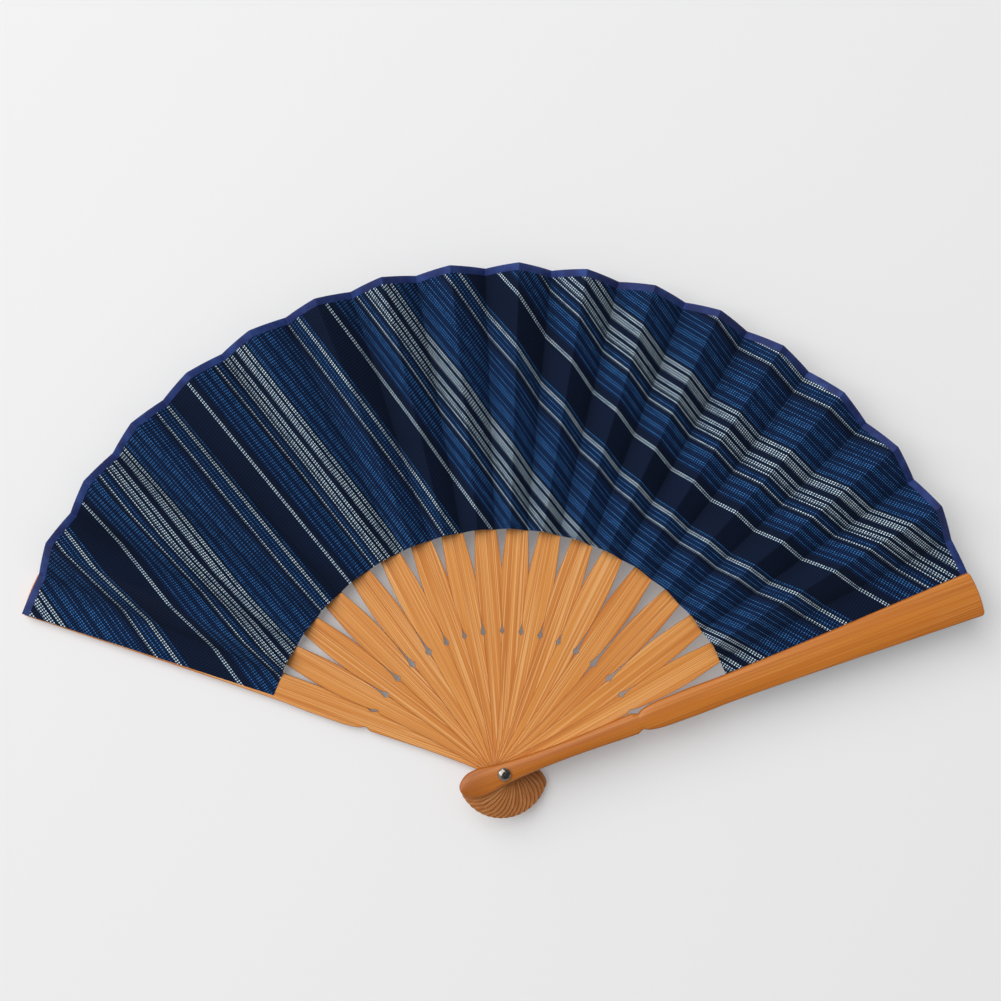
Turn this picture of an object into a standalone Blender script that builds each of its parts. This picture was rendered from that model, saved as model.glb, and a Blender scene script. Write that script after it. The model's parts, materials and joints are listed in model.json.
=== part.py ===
"""A cloth folding fan, open: two bamboo guards and sixteen bamboo ribs on one rivet, with a pleated leaf.

Metres, +Z up. The rivet's axis is Z and the origin is the middle of its rear face. The fan opens
symmetrically about +Y: the rear guard lies lowest, at the left, and each stick to its right is one
pitch higher, up to the front guard. Every pleat is two flat panels of cloth. They meet in a valley
beside a rib, which is the line that both turn about as the fan closes.
"""

import math

import bmesh
import bpy
from mathutils import Matrix

for old in list(bpy.data.objects):
    bpy.data.objects.remove(old, do_unlink=True)

MM = 0.001

# Angles of the open fan, from the rear guard to the front guard
OPEN_ANGLE = math.radians(138.9)
GAP_SHARES = (
    7.95, 8.35, 8.3, 8.5, 8.4, 8.0, 7.7, 8.0, 7.6, 7.8, 7.95, 7.8, 8.4, 8.8, 8.4, 8.05, 8.9,
)
RIBS = len(GAP_SHARES) - 1

# Leaf
LEAF_INNER = 98.0 * MM
MOUNTAIN_REACH = 205.0 * MM
VALLEY_REACH = 204.3 * MM
CLOTH = 0.21 * MM
LAYER_GAP = 0.04 * MM
FOLD_GAP = 0.25 * MM
PANEL_ANGLE = math.radians(5.14)
VALLEY_ANGLE = math.radians(2.2)
LEAF_MARGIN = 1.0 * MM
REAR_VALLEY_ANGLE = math.radians(2.35)
REAR_END_ANGLE = math.radians(5.1)
FRONT_END_ANGLE = math.radians(3.9)

# Two points of a round tail, as shares of its length and half width
TAIL_TURN = (-0.86, 0.72)
TAIL_WIDEST = (-0.60, 1.0)

# Ribs
STEM_THICKNESS = 0.56 * MM
TONGUE_THICKNESS = 0.28 * MM
STICK_GAP = 0.25 * MM
RIB_TAIL = 18.8 * MM
RIB_REACH = 195.0 * MM
RIB_TAIL_HALF = 5.4 * MM
RIB_PIVOT_HALF = 4.2 * MM
RIB_NECK_HALF = 3.3 * MM
RIB_SHOULDER_HALF = 4.0 * MM
RIB_NOTCH_HALF = 3.3 * MM
RIB_BELLY_HALF = 5.5 * MM
RIB_FOOT_HALF = 4.4 * MM
TONGUE_HALF = 2.5 * MM
NECK_REACH = 22.0 * MM
NOTCH_REACH = 58.5 * MM
NOTCH_SLOPE = 2.5 * MM
BELLY_REACH = 78.0 * MM
TONGUE_TAPER = 3.0 * MM

# Guards
GUARD_THICKNESS = 2.4 * MM
GUARD_EDGE = 0.45 * MM
GUARD_REACH = 205.0 * MM
GUARD_TAIL_HALF = 5.45 * MM
GUARD_PIVOT_HALF = 4.2 * MM
GUARD_NECK_HALF = 3.35 * MM
GUARD_SHOULDER_HALF = 4.3 * MM
GUARD_NOTCH_HALF = 3.25 * MM
GUARD_BELLY_HALF = 5.6 * MM
GUARD_TIP_HALF = 9.25 * MM
GUARD_STRAIGHT_REACH = 96.0 * MM

# Rivet
PIN_RADIUS = 1.2 * MM
PIN_CLEARANCE = 0.3 * MM
HEAD_RADIUS = 2.6 * MM
HEAD_HEIGHT = 1.5 * MM
REAR_HEAD_HEIGHT = 1.2 * MM
HEAD_FLAT = 1.8 * MM
HEAD_CROWN = 0.3 * MM
HEAD_RIM = 0.4 * MM
CAP_CLEARANCE = 0.2 * MM
SEAT_GAP = 0.25 * MM
OVERRUN = 1.0 * MM
WELD_DISTANCE = 0.001 * MM
ROUND_SIDES = 16

# Levels, counted up from the rear face of the rivet
PITCH = STEM_THICKNESS + STICK_GAP
REAR_GUARD_BASE = REAR_HEAD_HEIGHT + SEAT_GAP
REAR_GUARD_TOP = REAR_GUARD_BASE + GUARD_THICKNESS
FIRST_RIB_BASE = REAR_GUARD_TOP + STICK_GAP
VALLEY_RISE = STEM_THICKNESS + LAYER_GAP + CLOTH / 2
REAR_LEAF_LEVEL = REAR_GUARD_TOP + LAYER_GAP + CLOTH / 2
FRONT_GUARD_BASE = FIRST_RIB_BASE + RIBS * PITCH
FRONT_LEAF_LEVEL = FRONT_GUARD_BASE - PITCH + VALLEY_RISE + 2 * (CLOTH + LAYER_GAP)
FRONT_GUARD_LEAF_BASE = FRONT_LEAF_LEVEL + CLOTH / 2 + LAYER_GAP
FRONT_GUARD_TOP = FRONT_GUARD_LEAF_BASE + GUARD_THICKNESS
RIVET_TOP = FRONT_GUARD_TOP + SEAT_GAP + HEAD_HEIGHT

MIDDLE_REACH = (LEAF_INNER + MOUNTAIN_REACH) / 2
ABOVE = math.pi / 2

fan = bpy.data.collections.new("folding_fan")
cutters = bpy.data.collections.new("cutters")
for group in (fan, cutters):
    bpy.context.scene.collection.children.link(group)


def material(name, colour, roughness, metallic=0.0):
    """A plain finish of one colour."""
    made = bpy.data.materials.new(name)
    made.use_nodes = True
    shader = made.node_tree.nodes["Principled BSDF"]
    shader.inputs["Base Color"].default_value = (*colour, 1.0)
    shader.inputs["Roughness"].default_value = roughness
    shader.inputs["Metallic"].default_value = metallic
    made.diffuse_color = (*colour, 1.0)
    return made


def empty(name, location, azimuth):
    """A pivot whose X axis runs outward along a stick or a fold, and whose Y axis points left."""
    pivot = bpy.data.objects.new(name, None)
    pivot.empty_display_size = RIB_TAIL
    pivot.location = location
    pivot.rotation_euler = (0.0, 0.0, azimuth)
    fan.objects.link(pivot)
    return pivot


def outline_mesh(name, points, bottom, top, edge=0.0, steps=3):
    """A flat plate on a closed outline. Each point is (x, y, sharp), and smooth points are curved through."""
    curve = bpy.data.curves.new(name, "CURVE")
    curve.dimensions = "2D"
    curve.fill_mode = "BOTH"
    curve.extrude = (top - bottom) / 2 - edge
    curve.bevel_depth = edge
    curve.bevel_resolution = 1
    curve.offset = -edge
    curve.resolution_u = steps
    spline = curve.splines.new("BEZIER")
    spline.bezier_points.add(len(points) - 1)
    spline.use_cyclic_u = True
    for knot, (x, y, sharp) in zip(spline.bezier_points, points):
        knot.co = (x, y, 0.0)
        knot.handle_left_type = "VECTOR" if sharp else "AUTO"
        knot.handle_right_type = knot.handle_left_type
    return solid_mesh(name, curve, (bottom + top) / 2)


def solid_mesh(name, curve, level):
    """The curve's solid as a welded mesh, raised to its level."""
    drawn = bpy.data.objects.new(name, curve)
    cutters.objects.link(drawn)
    bpy.context.view_layer.update()
    mesh = bpy.data.meshes.new_from_object(drawn.evaluated_get(bpy.context.evaluated_depsgraph_get()))
    bpy.data.objects.remove(drawn)
    bpy.data.curves.remove(curve)
    mesh.name = name
    mesh.transform(Matrix.Translation((0.0, 0.0, level)))
    weld(mesh)
    return mesh


def weld(mesh):
    """Joins the caps of a solid to its sides."""
    work = bmesh.new()
    work.from_mesh(mesh)
    bmesh.ops.remove_doubles(work, verts=work.verts, dist=WELD_DISTANCE)
    bmesh.ops.recalc_face_normals(work, faces=work.faces)
    work.to_mesh(mesh)
    work.free()


def stick_side(tail, tail_half, pivot_half, neck_half, shoulder_half, notch_half, belly_half):
    """One long side of a stick, from its round tail to the belly past the notch."""
    shoulder = NOTCH_REACH - NOTCH_SLOPE
    return [
        (TAIL_TURN[0] * tail, TAIL_TURN[1] * tail_half, False),
        (TAIL_WIDEST[0] * tail, TAIL_WIDEST[1] * tail_half, False),
        (0.0, pivot_half, False),
        (NECK_REACH, neck_half, False),
        (shoulder, shoulder_half, True),
        (NOTCH_REACH, notch_half, True),
        (NOTCH_REACH + NOTCH_SLOPE, (notch_half + belly_half) / 2, False),
        (BELLY_REACH, belly_half, False),
    ]


def whole_outline(tail, side):
    """The closed outline of a stick from one of its sides."""
    other = [(x, -y, sharp) for x, y, sharp in reversed(side)]
    return [(-tail, 0.0, False)] + side + other


def cylinder(name, radius, bottom, top):
    """A cutter on the rivet's axis."""
    mesh = bpy.data.meshes.new(name)
    work = bmesh.new()
    bmesh.ops.create_cone(
        work,
        cap_ends=True,
        segments=ROUND_SIDES,
        radius1=radius,
        radius2=radius,
        depth=top - bottom,
        matrix=Matrix.Translation((0.0, 0.0, (bottom + top) / 2)),
    )
    work.to_mesh(mesh)
    work.free()
    return bpy.data.objects.new(name, mesh)


def block(name, low, high):
    """A box cutter between two corners."""
    mesh = bpy.data.meshes.new(name)
    work = bmesh.new()
    size = [b - a for a, b in zip(low, high)]
    middle = [(a + b) / 2 for a, b in zip(low, high)]
    bmesh.ops.create_cube(work, size=1.0, matrix=Matrix.LocRotScale(middle, None, size))
    work.to_mesh(mesh)
    work.free()
    return bpy.data.objects.new(name, mesh)


def cut(mesh, cutter):
    """The mesh with the cutter taken out of it."""
    body = bpy.data.objects.new(mesh.name, mesh)
    for thing in (body, cutter):
        cutters.objects.link(thing)
        thing.hide_render = True
        thing.display_type = "WIRE"
    away = body.modifiers.new("cut", "BOOLEAN")
    away.operation = "DIFFERENCE"
    away.solver = "EXACT"
    away.object = cutter
    bpy.context.view_layer.update()
    made = bpy.data.meshes.new_from_object(body.evaluated_get(bpy.context.evaluated_depsgraph_get()))
    made.name = mesh.name
    bpy.data.objects.remove(body)
    bpy.data.objects.remove(cutter)
    return made


def piece(name, mesh, finish, parent=None, turned=Matrix()):
    """One named solid of the fan, turned in its parent's frame."""
    made = bpy.data.objects.new(name, mesh)
    mesh.materials.clear()
    mesh.materials.append(finish)
    made.parent = parent
    made.matrix_local = turned
    fan.objects.link(made)
    return made


def pin_hole(mesh):
    """The stick with its hole for the rivet."""
    return cut(mesh, cylinder("hole", PIN_RADIUS + PIN_CLEARANCE, -OVERRUN, FRONT_GUARD_TOP))


def rib_mesh():
    """A rib: a stem as thick as the pitch allows, then a thin tongue under the leaf."""
    side = stick_side(
        RIB_TAIL,
        RIB_TAIL_HALF,
        RIB_PIVOT_HALF,
        RIB_NECK_HALF,
        RIB_SHOULDER_HALF,
        RIB_NOTCH_HALF,
        RIB_BELLY_HALF,
    )
    side += [
        (LEAF_INNER, RIB_FOOT_HALF, True),
        (LEAF_INNER + TONGUE_TAPER, TONGUE_HALF, True),
        (RIB_REACH, TONGUE_HALF, True),
    ]
    plate = outline_mesh("rib", whole_outline(RIB_TAIL, side), 0.0, STEM_THICKNESS)
    under_tongue = block(
        "under_tongue",
        (LEAF_INNER - LEAF_MARGIN, -RIB_BELLY_HALF, -OVERRUN),
        (RIB_REACH + OVERRUN, RIB_BELLY_HALF, STEM_THICKNESS - TONGUE_THICKNESS),
    )
    return pin_hole(cut(plate, under_tongue))


def guard_mesh(name, thickness):
    """A guard with rounded edges, from its round tail to its square tip."""
    side = stick_side(
        RIB_TAIL,
        GUARD_TAIL_HALF,
        GUARD_PIVOT_HALF,
        GUARD_NECK_HALF,
        GUARD_SHOULDER_HALF,
        GUARD_NOTCH_HALF,
        GUARD_BELLY_HALF,
    )
    side += [
        (GUARD_STRAIGHT_REACH, GUARD_BELLY_HALF, False),
        (GUARD_REACH, GUARD_TIP_HALF, True),
    ]
    plate = outline_mesh(name, whole_outline(RIB_TAIL, side), 0.0, thickness, GUARD_EDGE, 4)
    return pin_hole(plate)


def panel_mesh(name, side, width_angle, near_reach, far_reach, far_gap):
    """A flat panel of cloth from a fold along X. Side is 1 where it spreads to the left, else -1."""
    far_left = far_gap * math.cos(width_angle)
    far_out = far_gap * math.sin(width_angle)
    corners = [(LEAF_INNER, FOLD_GAP), (near_reach, FOLD_GAP)]
    for reach in (far_reach, LEAF_INNER):
        along = reach * math.cos(width_angle) + far_out
        corners.append((along, reach * math.sin(width_angle) - far_left))
    points = [(x, side * y, True) for x, y in corners]
    return outline_mesh(name, points, -CLOTH / 2, CLOTH / 2, steps=1)


bamboo = material("bamboo", (0.72, 0.36, 0.12), 0.5)
stained_bamboo = material("stained_bamboo", (0.55, 0.22, 0.05), 0.4)
cotton = material("striped_cotton", (0.02, 0.035, 0.10), 0.9)
dark_metal = material("dark_metal", (0.16, 0.15, 0.15), 0.3, 1.0)

scale = OPEN_ANGLE / sum(GAP_SHARES)
stick_azimuths = [ABOVE + OPEN_ANGLE / 2 - scale * sum(GAP_SHARES[:n]) for n in range(RIBS + 2)]


def rib_base(number):
    """The underside of a rib, counted from 1 at the rear guard."""
    return FIRST_RIB_BASE + (number - 1) * PITCH


def valley(number):
    """The azimuth and level of the valley fold beside a stick. Number 0 is on the rear guard."""
    if number == 0:
        return stick_azimuths[0] - REAR_VALLEY_ANGLE, REAR_LEAF_LEVEL
    return stick_azimuths[number] - VALLEY_ANGLE, rib_base(number) + VALLEY_RISE


def tilts(number):
    """How steeply the panels on the two sides of a mountain stand, between this valley and the next.

    The first rises from this valley to the mountain, and the second falls from it to the next valley.
    Both are equally wide, so the mountain is the top of an isosceles triangle across the fold.
    """
    (azimuth, level), (next_azimuth, next_level) = valley(number), valley(number + 1)
    across = MIDDLE_REACH * (azimuth - next_azimuth)
    rise = next_level - level
    lean = math.atan2(rise, across)
    steep = math.acos(math.hypot(across, rise) / 2 / (MIDDLE_REACH * PANEL_ANGLE))
    return steep + lean, steep - lean


def fold_axis_offset(tilt):
    """Where a rising panel turns, right of its valley and above it, to end one layer above its neighbour."""
    turn = math.pi - tilt
    layer = CLOTH + LAYER_GAP
    return -layer / 2 / math.tan(turn / 2), layer / 2


def rising_panel(number, tilt):
    """The panel to the right of a valley, which swings up and over to the valley's left."""
    azimuth, level = valley(number)
    right, up = fold_axis_offset(tilt)
    here = (right * math.sin(azimuth), -right * math.cos(azimuth), level + up)
    axis = empty(f"rising_{number:02d}_axis", here, azimuth)
    turned = Matrix.Translation((0.0, right, -up)) @ Matrix.Rotation(-tilt, 4, "X")
    piece(f"leaf_rising_{number:02d}", rising_shape, cotton, axis, turned)


def falling_panel(number, tilt):
    """The panel over a rib, which falls from a mountain at the left to the valley at the rib's right."""
    azimuth, level = valley(number)
    axis = empty(f"falling_{number:02d}_axis", (0.0, 0.0, level), azimuth)
    piece(f"leaf_falling_{number:02d}", falling_shape, cotton, axis, Matrix.Rotation(tilt, 4, "X"))


def leaf():
    """All the panels, with the two end panels that lie flat on the guards."""
    for number in range(RIBS):
        rising, falling = tilts(number)
        rising_panel(number, rising)
        falling_panel(number + 1, falling)
    last_azimuth, last_level = valley(RIBS)
    rise = FRONT_LEAF_LEVEL - last_level
    last_tilt = math.asin(rise / (MOUNTAIN_REACH * PANEL_ANGLE))
    rising_panel(RIBS, last_tilt)
    azimuth, level = valley(0)
    shape = panel_mesh("rear_end", 1, REAR_END_ANGLE, VALLEY_REACH, VALLEY_REACH, 0.0)
    piece("leaf_end_rear", shape, cotton, empty("rear_end_place", (0.0, 0.0, level), azimuth))
    front_azimuth = last_azimuth - PANEL_ANGLE * math.cos(last_tilt)
    shape = panel_mesh("front_end", -1, FRONT_END_ANGLE, VALLEY_REACH, VALLEY_REACH, 0.0)
    place = empty("front_end_place", (0.0, 0.0, FRONT_LEAF_LEVEL), front_azimuth)
    piece("leaf_end_front", shape, cotton, place)


def sticks():
    """The two guards and the ribs between them, each on the rivet's axis at its own level."""
    rear = guard_mesh("rear_guard", GUARD_THICKNESS)
    rear_place = empty("rear_guard_axis", (0.0, 0.0, REAR_GUARD_BASE), stick_azimuths[0])
    piece("rear_guard", rear, stained_bamboo, rear_place)
    shape = rib_mesh()
    for number in range(1, RIBS + 1):
        place = empty(f"rib_{number:02d}_axis", (0.0, 0.0, rib_base(number)), stick_azimuths[number])
        piece(f"rib_{number:02d}", shape, bamboo, place)
    front = guard_mesh("front_guard", FRONT_GUARD_TOP - FRONT_GUARD_BASE)
    room = FRONT_GUARD_LEAF_BASE - FRONT_GUARD_BASE
    under_leaf = block(
        "under_leaf",
        (LEAF_INNER - LEAF_MARGIN, -GUARD_REACH, -OVERRUN),
        (GUARD_REACH + OVERRUN, GUARD_REACH, room),
    )
    front_place = empty("front_guard_axis", (0.0, 0.0, FRONT_GUARD_BASE), stick_azimuths[-1])
    piece("front_guard", cut(front, under_leaf), stained_bamboo, front_place)


def turned_shape(name, profile):
    """A round solid from its half outline, which runs from the top of the axis down to its foot."""
    curve = bpy.data.curves.new(name, "CURVE")
    curve.dimensions = "3D"
    spline = curve.splines.new("POLY")
    spline.points.add(len(profile) - 1)
    for knot, (radius, level) in zip(spline.points, profile):
        knot.co = (radius, 0.0, level, 1.0)
    drawn = bpy.data.objects.new(name, curve)
    cutters.objects.link(drawn)
    turn = drawn.modifiers.new("turn", "SCREW")
    turn.steps = 2 * ROUND_SIDES
    turn.render_steps = turn.steps
    turn.use_merge_vertices = True
    turn.merge_threshold = WELD_DISTANCE
    bpy.context.view_layer.update()
    mesh = bpy.data.meshes.new_from_object(drawn.evaluated_get(bpy.context.evaluated_depsgraph_get()))
    bpy.data.objects.remove(drawn)
    bpy.data.curves.remove(curve)
    weld(mesh)
    mesh.shade_smooth()
    mesh.set_sharp_from_angle(angle=math.radians(40))
    return mesh


def dome(radius, flat, height, foot, steps=5):
    """Points of a domed head, from the edge of its flat crown down to its rim."""
    points = []
    for n in range(steps + 1):
        angle = ABOVE * (1 - n / steps)
        points.append((flat + (radius - flat) * math.cos(angle), foot + height * math.sin(angle)))
    return points


def rivet():
    """The pin with its domed front head, and the cap that closes it behind."""
    seat = FRONT_GUARD_TOP + SEAT_GAP
    pin_foot = REAR_HEAD_HEIGHT / 2
    pin = [(0.0, RIVET_TOP)] + dome(HEAD_RADIUS, HEAD_CROWN, HEAD_HEIGHT - HEAD_RIM, seat + HEAD_RIM)
    pin += [(HEAD_RADIUS, seat), (PIN_RADIUS, seat), (PIN_RADIUS, pin_foot), (0.0, pin_foot)]
    piece("rivet_pin", turned_shape("rivet_pin", pin), dark_metal)
    bore = PIN_RADIUS + CAP_CLEARANCE
    cap = [(bore, REAR_HEAD_HEIGHT), (HEAD_RADIUS, REAR_HEAD_HEIGHT), (HEAD_RADIUS, HEAD_RIM)]
    cap += [(HEAD_FLAT, 0.0), (0.0, 0.0), (0.0, pin_foot - CAP_CLEARANCE)]
    cap += [(bore, pin_foot - CAP_CLEARANCE), (bore, REAR_HEAD_HEIGHT)]
    piece("rivet_cap", turned_shape("rivet_cap", cap), dark_metal)


rising_shape = panel_mesh("rising_panel", -1, PANEL_ANGLE, VALLEY_REACH, MOUNTAIN_REACH, FOLD_GAP)
falling_shape = panel_mesh("falling_panel", 1, PANEL_ANGLE, VALLEY_REACH, MOUNTAIN_REACH, FOLD_GAP)
sticks()
leaf()
rivet()
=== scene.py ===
"""Looks of a cloth folding fan: bamboo guards and ribs, a pleated leaf of striped cotton, and its rivet.

Metres, +Z up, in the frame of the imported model. Azimuths are seen from above, counterclockwise from +X.
A stick is drawn along +X and then turned to its azimuth. The leaf is worked out panel by panel, from the
fold lines that the model's joints turn about, and each point also keeps its place in the flat cloth.
"""

import json
import math

import bmesh
import bpy
import numpy as np
from mathutils import Matrix, Vector

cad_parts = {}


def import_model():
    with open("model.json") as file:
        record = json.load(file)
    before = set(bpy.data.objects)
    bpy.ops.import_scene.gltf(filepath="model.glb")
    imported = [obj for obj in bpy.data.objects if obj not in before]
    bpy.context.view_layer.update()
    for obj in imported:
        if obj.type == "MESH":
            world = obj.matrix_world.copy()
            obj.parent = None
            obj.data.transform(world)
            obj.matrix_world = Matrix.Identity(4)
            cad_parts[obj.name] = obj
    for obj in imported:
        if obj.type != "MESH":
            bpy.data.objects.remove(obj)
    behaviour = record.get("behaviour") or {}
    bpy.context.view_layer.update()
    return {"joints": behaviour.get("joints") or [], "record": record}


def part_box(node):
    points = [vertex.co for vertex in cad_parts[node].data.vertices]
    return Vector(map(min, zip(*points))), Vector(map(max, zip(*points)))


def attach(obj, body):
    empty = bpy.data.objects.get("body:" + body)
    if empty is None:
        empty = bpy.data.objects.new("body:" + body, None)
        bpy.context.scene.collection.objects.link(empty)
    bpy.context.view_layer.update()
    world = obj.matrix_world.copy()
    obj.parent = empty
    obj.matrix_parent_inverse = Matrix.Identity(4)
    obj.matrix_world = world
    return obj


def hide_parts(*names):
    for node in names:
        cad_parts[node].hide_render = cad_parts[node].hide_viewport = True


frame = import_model()

MM = 0.001
ABOVE = math.pi / 2
TINY = 0.001 * MM
WELD = 0.0005 * MM
SHARP_ANGLE = math.radians(38)

# Sticks. Knots of a notch are (reach, half width). The tail's turn and widest place are shares of its size.
STEM_THICKNESS = 0.56 * MM
TONGUE_THICKNESS = 0.28 * MM
TAIL = 18.8 * MM
NECK_REACH = 22.0 * MM
BELLY_REACH = 78.0 * MM
TAIL_TURN = (-0.86, 0.72)
TAIL_WIDEST = (-0.60, 1.0)
RIB_TAIL_HALF = 5.4 * MM
RIB_PIVOT_HALF = 4.2 * MM
RIB_NECK_HALF = 3.3 * MM
RIB_NOTCH = ((54.9 * MM, 3.95 * MM), (56.4 * MM, 2.95 * MM), (58.4 * MM, 3.75 * MM), (62.4 * MM, 4.4 * MM))
RIB_BELLY_HALF = 5.5 * MM
RIB_FOOT_HALF = 4.4 * MM
TONGUE_HALF = 2.5 * MM
TONGUE_TAPER = 3.0 * MM
RIB_REACH = 195.0 * MM
RIB_EDGE = 0.12 * MM
GUARD_TAIL_HALF = 5.45 * MM
GUARD_PIVOT_HALF = 4.2 * MM
GUARD_NECK_HALF = 3.35 * MM
GUARD_NOTCH = ((56.0 * MM, 4.3 * MM), (58.5 * MM, 3.25 * MM), (61.0 * MM, 4.42 * MM))
NOTCH_RUN = (52.0 * MM, 66.0 * MM)
GUARD_BELLY_HALF = 5.6 * MM
GUARD_TIP_HALF = 9.25 * MM
GUARD_STRAIGHT_REACH = 96.0 * MM
GUARD_REACH = 205.0 * MM
GUARD_EDGE = 0.7 * MM
GUARD_INNER_EDGE = 0.2 * MM
GUARD_CROWN = 0.85 * MM
CROWN_POWER = 2.2
TIP_ROUND = 1.6 * MM
TIP_BOW = 0.5 * MM
TIP_BOW_RUN = 15.0 * MM
HOLE_RADIUS = 1.5 * MM
HOLE_SIDES = 32
DRILL_DEPTH = TAIL
STICK_COLUMNS = 17
SHARP_NOTCH_KNOTS = 2
CURVE_STEPS = 12
STATION_STEP = 2.0 * MM
FINE_STEP = 0.4 * MM
TAIL_FIRST_TURN = 0.04
TAIL_STATIONS = 16
TIP_STATIONS = 10
RIB_SEED_STEP = 3.7
GUARD_SEED = 60.0
FACING = 0.5

# Leaf. Its step is the run over which a stick thins to make room for it.
LEAF_INNER = 98.0 * MM
LEAF_MARGIN = 1.0 * MM
LEAF_STEP = (LEAF_INNER - 2 * LEAF_MARGIN, LEAF_INNER - LEAF_MARGIN)
TONGUE_START = LEAF_INNER + TONGUE_TAPER
VALLEY_REACH = 204.3 * MM
MOUNTAIN_REACH = 205.0 * MM
PANEL_ANGLE = math.radians(5.14)
REAR_END_ANGLE = math.radians(4.85)
FRONT_END_ANGLE = math.radians(3.9)
REAR_END_REACH = 205.0 * MM
LAYER = 0.25 * MM
CLOTH_HALF = 0.075 * MM
FOLD_ROUND = 0.35 * MM
FLAT_CREASE = 0.02
ROW_STEP = 1.6 * MM
PANEL_COLUMNS = 9
FOLD_COLUMNS = 4

# Binding. Its lip and its nose are runs, each with the share of the half thickness that it has there.
BINDING_HALF = 0.12 * MM
BINDING_WIDTH = 3.0 * MM
BINDING_WRAP = 0.2 * MM
BINDING_LIP = ((0.0, 0.8), (0.15 * MM, 1.0))
BINDING_NOSE = ((0.0, 1.0), (0.07 * MM, 0.7), (0.1 * MM, 0.0))
BINDING_INSET = 0.05 * MM
LINING_GAP = 0.005 * MM

# Stripes of the cloth, in its flat frame. Bands are (first thread, count).
THREAD = 0.872 * MM
PICK = 1.17 * MM
REPEAT_THREADS = 89
SPARE_REPEATS = 10
WAVER = 0.2 * MM
CLOTH_APEX = 17.0 * MM
CLOTH_PANEL_ANGLE = math.radians(4.75)
STRIPES_ACROSS = math.radians(46.3)
STRIPES_START = 218.0 * MM
FLAT_FIRST_VALLEY = math.radians(168.85)
CLOTH_SHEAR = 1.2 * MM
SHEAR_REACH = 150.0 * MM
WHITE_THREADS = ((0, 2), (7, 1), (34, 2), (37, 3), (43, 2), (46, 2), (49, 1), (54, 1), (71, 2))
BLUE_THREADS = (
    (3, 1), (5, 1), (12, 1), (14, 1), (17, 1), (19, 3), (24, 1), (26, 3), (31, 2), (52, 1), (57, 3),
    (62, 2), (66, 1), (87, 1),
)
WASHED_THREADS = ((2, 5), (10, 23), (51, 3), (57, 11))

# Bamboo. Rates are noise steps a millimetre, or a stick's seed. Runs along it are in millimetres.
BEND_RATES = (0.02, 1.0, 1.0)
BROAD_RATES = (0.008, 0.5, 1.0)
STREAK_RATES = (0.015, 1.9, 1.0)
HAIR_RATES = (0.012, 3.0, 1.0)
STICK_RATES = (1.0, 0.004)
FIBRE_BEND = 0.5
FIBRE_DEPTH = 0.06 * MM
STREAK_RELIEF = 0.6
STICK_SHARE = 0.3
TONE_STOPS = (0.3, 0.5, 0.7)
DARK_STREAKS = (0.46, 0.38)
DARK_SHARE = 0.7
LIGHT_STREAKS = (0.55, 0.62)
LIGHT_SHARE = 0.6
PALE_HAIRS = (0.59, 0.65)
# Edge darkening with the wear tone: partly wear, partly painted shade where the sticks lie against each other
EDGE_WEAR_AND_SHADE = (0.05 * MM, 0.45 * MM, 0.7, 0.0)
# Tail darkening with the wear tone: partly wear, partly painted shade from the front guard falling on the
# tails
TAIL_WEAR_AND_SHADE = (-3.0, -15.0, 0.0, 0.6)
HANDLED_RUN = (75.0, 25.0)
ROUGHNESS_SPREAD = 0.06

# Cloth and metal. Rates are noise steps a metre, a thread or a radian, and edges are shares of a pitch.
WAVER_RATES = (40.0, 20.0)
SPIN_RATES = (300.0, 3.7)
FADE_RATES = (40.0, 40.0, 1.0)
THREAD_EDGE = (0.2, 0.34)
PICK_EDGE = (0.18, 0.31)
THREAD_DEPTH = 0.05 * MM
GROUND_DOTS = 0.6
TAPE_CLOUD_RATES = (110.0, 110.0, 5.0)
TAPE_FUZZ_RATES = (2500.0, 2500.0)
TAPE_RIDGE = 0.32 * MM
TAPE_DEPTH = 0.02 * MM
RING_RATES = (9000.0, 1.0)
RING_DEPTH = 0.01 * MM
CLOUD_RATES = (900.0, 900.0, 900.0)
TAPE_STOPS = (0.35, 0.5, 0.66)
CLOUD_STOPS = (0.35, 0.65)

# Climbs: the noise or share at the foot and the top, and then the result at the foot and the top
THIN_SPOTS = (0.25, 0.5, 0.55, 1.0)
YARN_TWIST = (0.3, 0.7, 0.0, 1.0)
# VALLEY_SHADE: painted shade laid into the cloth towards each valley fold
VALLEY_SHADE = (0.5, 1.0, 0.0, 0.3)
TAPE_SHADE = (0.4, 0.7, 0.0, 0.4)
CLOUD_ROUGHNESS = (0.3, 0.7, 0.12, 0.24)

# Rivet
PIN_RADIUS = 1.2 * MM
HEAD_RADIUS = 2.6 * MM
HEAD_RIM = 0.4 * MM
HEAD_CROWN = 0.3 * MM
HEAD_FLAT = 1.8 * MM
REAR_HEAD_HEIGHT = 1.2 * MM
SEAT_GAP = 0.25 * MM
CAP_CLEARANCE = 0.2 * MM
ROUND_SIDES = 64
DOME_STEPS = 12
REAR_DOME_STEPS = 5

# Camera and light
CAMERA_PLACE = Vector((-24.88, 81.37, 700.0)) * MM
CAMERA_TILT = (math.radians(2.328), math.radians(-1.97), 0.0)
CAMERA_LENS = 61.142
SENSOR_WIDTH = 36.0
CLIP_START = 0.01
FAN_MIDDLE = Vector((0.0, 100.0, 10.0)) * MM
KEY_AZIMUTH = math.radians(145)
KEY_HEIGHT = math.radians(53)
KEY_DISTANCE = 3.0
KEY_SIZE = 3.2
KEY_POWER = 99.0
WORLD_STRENGTH = 0.28
MIRROR_LEAN = 0.35
MIRROR_FALL = (0.0, 0.7, 0.7, 0.1)
BACKDROP = 0.8
FLOOR_HALF = 3.0
FLOOR_COLOUR = (0.88, 0.88, 0.885, 1.0)
FLOOR_ROUGHNESS = 0.9
FLOOR_GLOW = 0.17
GLOW_COLOUR = (0.95, 0.95, 0.955, 1.0)

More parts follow.
